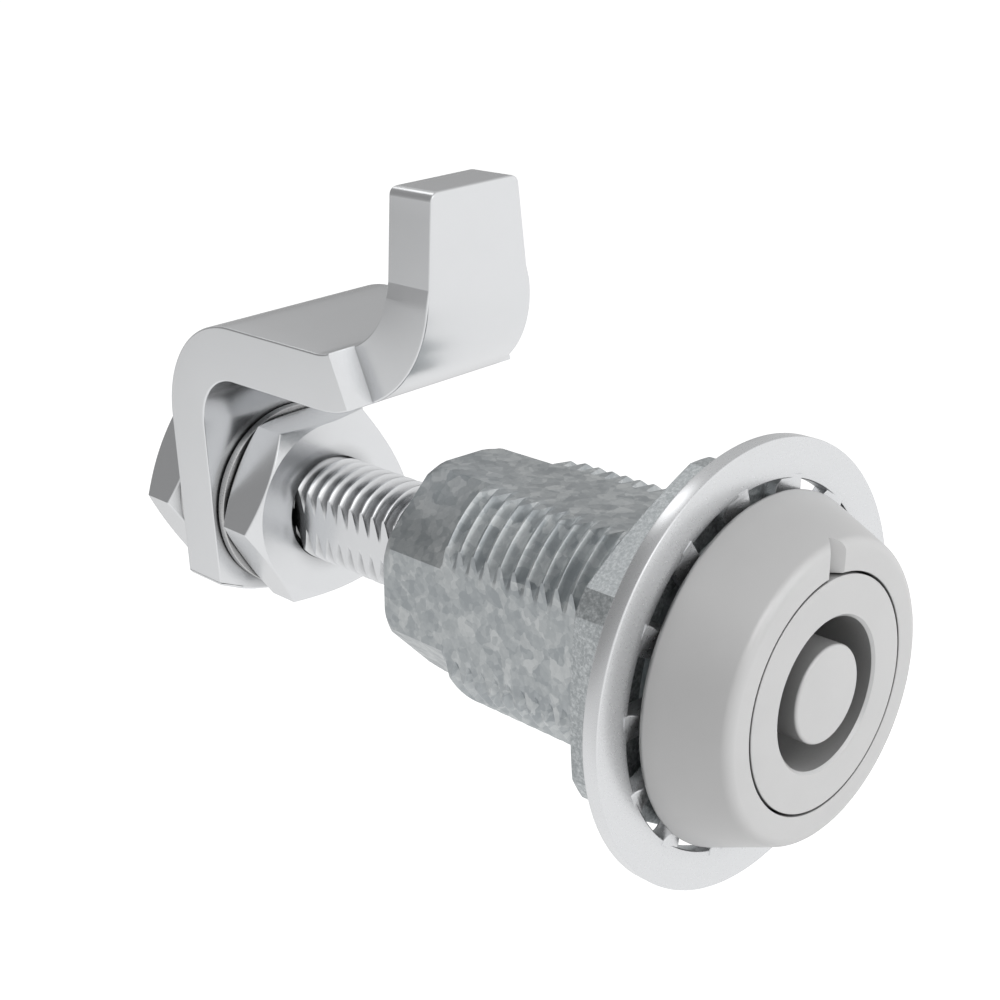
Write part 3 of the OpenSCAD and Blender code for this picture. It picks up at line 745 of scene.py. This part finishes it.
def pawlPiece(p):
    points = pawlShell(p)
    rows, cols = points.shape[:2]
    # both ends are closed by quads across the bar and a triangle in each narrow side
    half = cols // 2
    i = np.arange(1, half - 1)
    cap = np.stack([i, i + 1, cols - i - 1, cols - i], -1)
    tips = np.array([[0, 1, cols - 1], [half - 1, half, half + 1]])
    mesh = fillMesh("pawlBar", [(points, gridFaces(rows, cols, False, True))])
    bm = bmesh.new()
    bm.from_mesh(mesh)
    bm.verts.ensure_lookup_table()
    for start in (0, (rows - 1) * cols):
        for f in [*(cap + start).tolist(), *(tips + start).tolist()]:
            bm.faces.new([bm.verts[k] for k in f])
    bm.to_mesh(mesh)
    bm.free()
    tidyMesh(mesh, p["weldSharp"])
    # the hole has the shaft's two flats
    angle = np.arange(p["holeColumns"]) * 360 / p["holeColumns"]
    hole = np.minimum(p["hole"], p["holeFlat"] / np.maximum(np.abs(np.cos(np.radians(angle))), 1e-6))
    ends = ((0, p["holeFrom"]), (1, p["holeFrom"]), (1, p["holeTo"]), (0, p["holeTo"]))
    cutter = turned(np.stack([polar(hole * k, angle, y) for k, y in ends]), setTurn)
    return cutAway(mesh, [(cutter, gridFaces(len(ends), len(angle), False, True))], p["sharp"])


addPiece("pawlBar", pawlPiece(pawl), looks["plated_steel"], "shaft", ["pawl"])


# guide bush and its ring, seen from behind

bush = {"outer": 7.75, "front": 25.65, "back": 30.15, "bore": 5.05, "flatAt": 4.05, "cut": 0.3,
        "grooveR": 6.6, "grooveFrom": 26.85, "grooveTo": 28.95, "grooveTurn": (-143.94, -36.06),
        "columns": 180, "sharp": 30}


def bushShell(b):
    angle = np.arange(b["columns"]) * 360 / b["columns"]
    inner = np.minimum(b["bore"], b["flatAt"] / np.maximum(np.abs(np.cos(np.radians(angle))), 1e-6))
    o, c = b["outer"] + 0 * angle, b["cut"]
    rows = [(inner, b["front"] + c), (inner + c, b["front"]), (o - c, b["front"]), (o, b["front"] + c),
            (o, b["back"] - c), (o - c, b["back"]), (inner + c, b["back"]), (inner, b["back"] - c)]
    points = np.stack([polar(r, angle, y) for r, y in rows])
    return turned(points, setTurn), gridFaces(len(rows), b["columns"], True, True)


def grooveCutter(b):
    # a ring sector round the stop pin's path over the quarter turn
    loop = np.array([(b["grooveR"], b["grooveFrom"]), (b["outer"] + 1, b["grooveFrom"]),
                     (b["outer"] + 1, b["grooveTo"]), (b["grooveR"], b["grooveTo"])])
    angle = np.linspace(*b["grooveTurn"], 55)[None]
    ring = polar(loop[:, :1], angle, loop[:, 1:] + 0 * angle)
    caps = [np.broadcast_to(ring[:, [k]].mean(0, keepdims=True), (4, 1, 3)) for k in (0, -1)]
    points = np.concatenate([caps[0], ring, caps[1]], 1)
    return points, gridFaces(4, points.shape[1], True, False)


makePiece("guideBush", [bushShell(bush)], looks["bush_steel"], "guide", ["guide_bush"],
          bush["sharp"], [grooveCutter(bush)])

snapRing = {"outer": 8.28, "inner": 6.7, "from": 30.2, "to": 31.2, "edge": 0.1, "gapHalf": 1.6,
            "columns": 120, "sharp": 30}


def snapRingShell(s):
    loop = roundedLoop([(s["inner"], s["from"], s["edge"]), (s["outer"], s["from"], s["edge"]),
                        (s["outer"], s["to"], s["edge"]), (s["inner"], s["to"], s["edge"])], 3)
    half = np.degrees(np.arcsin(s["gapHalf"] / loop[:, :1]))
    u = np.linspace(0, 1, s["columns"])[None]
    ring = polar(loop[:, :1], 90 + half + u * (360 - 2 * half), loop[:, 1:] + 0 * u)
    caps = [np.broadcast_to(ring[:, [k]].mean(0, keepdims=True), (len(loop), 1, 3)) for k in (0, -1)]
    points = np.concatenate([caps[0], ring, caps[1]], 1)
    return points, gridFaces(len(loop), points.shape[1], True, False)


makePiece("rearSnapRing", [snapRingShell(snapRing)], looks["dark_steel"], "housing", ["rear_ring"],
          snapRing["sharp"])


# return spring: a helix with flat ends, held by the seat on the shaft; the real spring is pressed together as
# the latch draws, but this one keeps one length

spring = {"radius": 4.55, "wire": 1.1, "floor": 4.62, "seat": 14.68, "turns": 5.0, "flatEnd": 0.1,
          "wireColumns": 14, "rows": 241, "sharp": 60}


def springShell(s):
    # a ring of points round the wire, carried round and up the coil, and closed at the wire's centre
    t = np.linspace(0, 1, s["rows"])[:, None]
    climb = np.clip((t - s["flatEnd"]) / (1 - 2 * s["flatEnd"]), 0, 1)
    y = s["floor"] + s["wire"] / 2 + (s["seat"] - s["floor"] - s["wire"]) * climb
    around = np.arange(s["wireColumns"])[None] * math.tau / s["wireColumns"]
    r = s["radius"] + s["wire"] / 2 * np.cos(around)
    wire = polar(r + 0 * t, 90 + 360 * s["turns"] * t, y + s["wire"] / 2 * np.sin(around))
    caps = [np.broadcast_to(wire[k].mean(0), (1, s["wireColumns"], 3)) for k in (0, -1)]
    return np.concatenate([caps[0], wire, caps[1]]), gridFaces(s["rows"] + 2, s["wireColumns"], False, True)


springPiece = makePiece("returnSpring", [springShell(spring)], looks["spring_steel"], "shaft",
                        ["return_spring"], spring["sharp"])
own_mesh(springPiece)


# the remaining CAD pieces keep their shape and get their finish

slotOf = {"head_pin": "plain_steel", "core_oring": "black_rubber", "core_ring": "dark_steel",
          "thrust_washer": "white_plastic", "stop_pin": "plain_steel", "spring_seat": "plain_steel",
          "cross_pin": "plain_steel"}
for nodeName, slotName in slotOf.items():
    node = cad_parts[nodeName]
    node.data.materials.clear()
    node.data.materials.append(looks[slotName])
print("hidden pieces finished:", len(slotOf))


# stage: pale floor, white world, and a reflection dome that only gloss sees

stage = {"floorZ": -0.13, "floorHalf": 8.0, "floorTone": 0.9, "floorGlow": 0.68, "fill": 0.53,
         "fillDip": ((-0.9, -0.2, 0.35), 0.1, 0.95, 0.65), "domeR": 3.0, "domeRows": 49, "domeColumns": 96}
# zones of the dome: direction, cosines where the zone starts and is full, and the share of light it takes,
# which is below 0 for a panel brighter than the rest
zones = [((0.25, 0.85, 0.45), 0.10, 0.80, 0.42),  # wide, behind the latch
         ((-0.50, 0.72, 0.42), 0.72, 0.98, 0.45),  # behind, to the left
         ((-1.0, 0.25, 0.15), 0.55, 0.98, 0.25),  # left
         ((0.66, 0.75, 0.12), 0.968, 0.992, 0.42),  # narrow, behind, to the right
         ((0.04, 0.64, 0.77), 0.975, 0.995, -3.2),  # panel above and behind
         ((-0.30, -0.69, 0.63), 0.94, 0.99, -1.1)]  # panel above and in front
keyLamp = {"place": (0.15, -0.55, 0.31), "towards": (0, 0.03, 0.01), "size": 0.5, "power": 2.7}
view = {"place": (-0.092771, -0.065699, 0.053784), "towards": (0.66413, 0.66629, -0.33908), "lens": 59.514,
        "sensor": 36, "near": 0.001, "far": 30}


def lobe(tree, around, direction, start, end, take):
    # 1 away from the direction, 1 - take in it, with a smooth change between the two cosines
    dot = tree.nodes.new("ShaderNodeVectorMath")
    dot.operation = "DOT_PRODUCT"
    dot.inputs[1].default_value = Vector(direction).normalized()
    tree.links.new(around, dot.inputs[0])
    return spread(tree, dot.outputs["Value"], start, end, 1.0, 1 - take, "SMOOTHSTEP")


def seenRays(tree):
    # 1 where the camera, gloss or glass looks at the background
    path = tree.nodes.new("ShaderNodeLightPath")
    mirror = math2(tree, "MAXIMUM", path.outputs["Is Glossy Ray"], path.outputs["Is Transmission Ray"])
    return math2(tree, "MAXIMUM", path.outputs["Is Camera Ray"], mirror)


def emptyLook(mesh, name):
    look = bpy.data.materials.new(name)
    look.use_nodes = True
    look.node_tree.nodes.clear()
    mesh.materials.append(look)
    return look.node_tree, look.node_tree.nodes.new("ShaderNodeOutputMaterial")


def makeFloor(s):
    k, z = s["floorHalf"], s["floorZ"]
    points = np.array([[-k, -k, z], [k, -k, z], [k, k, z], [-k, k, z]])
    mesh = fillMesh("floor", [(points / mm, np.array([[0, 1, 2, 3]]))])
    tree, out = emptyLook(mesh, "paleFloor")
    matte = tree.nodes.new("ShaderNodeBsdfDiffuse")
    matte.inputs["Color"].default_value = (*(s["floorTone"],) * 3, 1)
    glow = tree.nodes.new("ShaderNodeEmission")
    tree.links.new(math2(tree, "MULTIPLY", seenRays(tree), s["floorGlow"]), glow.inputs["Strength"])
    both = tree.nodes.new("ShaderNodeAddShader")
    tree.links.new(matte.outputs[0], both.inputs[0])
    tree.links.new(glow.outputs[0], both.inputs[1])
    tree.links.new(both.outputs[0], out.inputs["Surface"])
    floor = placed("floor", mesh)
    floor.visible_glossy = False


def makeWorld(s):
    # white where it is seen, and a softer fill with a dip on one side where it lights
    world = bpy.data.worlds.new("studioWhite")
    bpy.context.scene.world = world
    world.use_nodes = True
    tree = world.node_tree
    tree.nodes.clear()
    out = tree.nodes.new("ShaderNodeOutputWorld")
    seen = seenRays(tree)
    fill = tree.nodes.new("ShaderNodeBackground")
    around = tree.nodes.new("ShaderNodeTexCoord").outputs["Generated"]
    level = math2(tree, "MULTIPLY", lobe(tree, around, *s["fillDip"]), s["fill"])
    tree.links.new(level, fill.inputs["Strength"])
    white = tree.nodes.new("ShaderNodeBackground")
    white.inputs["Strength"].default_value = 1.0
    for n in (fill, white):
        n.inputs["Color"].default_value = (1, 1, 1, 1)
    mix = tree.nodes.new("ShaderNodeMixShader")
    tree.links.new(seen, mix.inputs["Fac"])
    tree.links.new(fill.outputs[0], mix.inputs[1])
    tree.links.new(white.outputs[0], mix.inputs[2])
    tree.links.new(mix.outputs[0], out.inputs["Surface"])


def makeDome(s, zones):
    # soft grey zones of a studio that only gloss sees: the level is 1 times what each zone leaves
    phi = np.radians(np.linspace(-90, 90, s["domeRows"]))[:, None]
    theta = np.radians(np.arange(s["domeColumns"])[None] * 360 / s["domeColumns"])
    r = s["domeR"]
    points = np.stack([r * np.cos(phi) * np.cos(theta), r * np.cos(phi) * np.sin(theta),
                       r * np.sin(phi) + 0 * theta], -1)
    faces = gridFaces(s["domeRows"], s["domeColumns"], False, True)
    mesh = fillMesh("reflectionDome", [(points / mm, faces)])
    tidyMesh(mesh, 180)
    tree, out = emptyLook(mesh, "studioZones")
    glow = tree.nodes.new("ShaderNodeEmission")
    where = tree.nodes.new("ShaderNodeTexCoord").outputs["Object"]
    unit = tree.nodes.new("ShaderNodeVectorMath")
    unit.operation = "NORMALIZE"
    tree.links.new(where, unit.inputs[0])
    level = 1.0
    for zone in zones:
        level = math2(tree, "MULTIPLY", level, lobe(tree, unit.outputs["Vector"], *zone))
    tree.links.new(level, glow.inputs["Strength"])
    tree.links.new(glow.outputs[0], out.inputs["Surface"])
    dome = placed("reflectionDome", mesh)
    dome.visible_camera = False
    dome.visible_diffuse = False
    dome.visible_shadow = False
    dome.visible_transmission = False


def makeLamp(v):
    data = bpy.data.lights.new("keyLamp", "AREA")
    data.shape = "DISK"
    data.size = v["size"]
    data.energy = v["power"]
    obj = placed("keyLamp", data)
    obj.location = v["place"]
    obj.rotation_euler = (Vector(v["towards"]) - Vector(v["place"])).to_track_quat("-Z", "Y").to_euler()
    obj.visible_glossy = False
    obj.visible_camera = False


def makeCamera(v):
    data = bpy.data.cameras.new("camera")
    data.lens = v["lens"]
    data.sensor_width = v["sensor"]
    data.clip_start = v["near"]
    data.clip_end = v["far"]
    cam = placed("camera", data)
    cam.location = v["place"]
    cam.rotation_euler = Vector(v["towards"]).to_track_quat("-Z", "Y").to_euler()
    bpy.context.scene.camera = cam


makeFloor(stage)
makeWorld(stage)
makeDome(stage, zones)
makeLamp(keyLamp)
makeCamera(view)
bpy.context.scene.view_settings.view_transform = "Standard"
print("stage set")
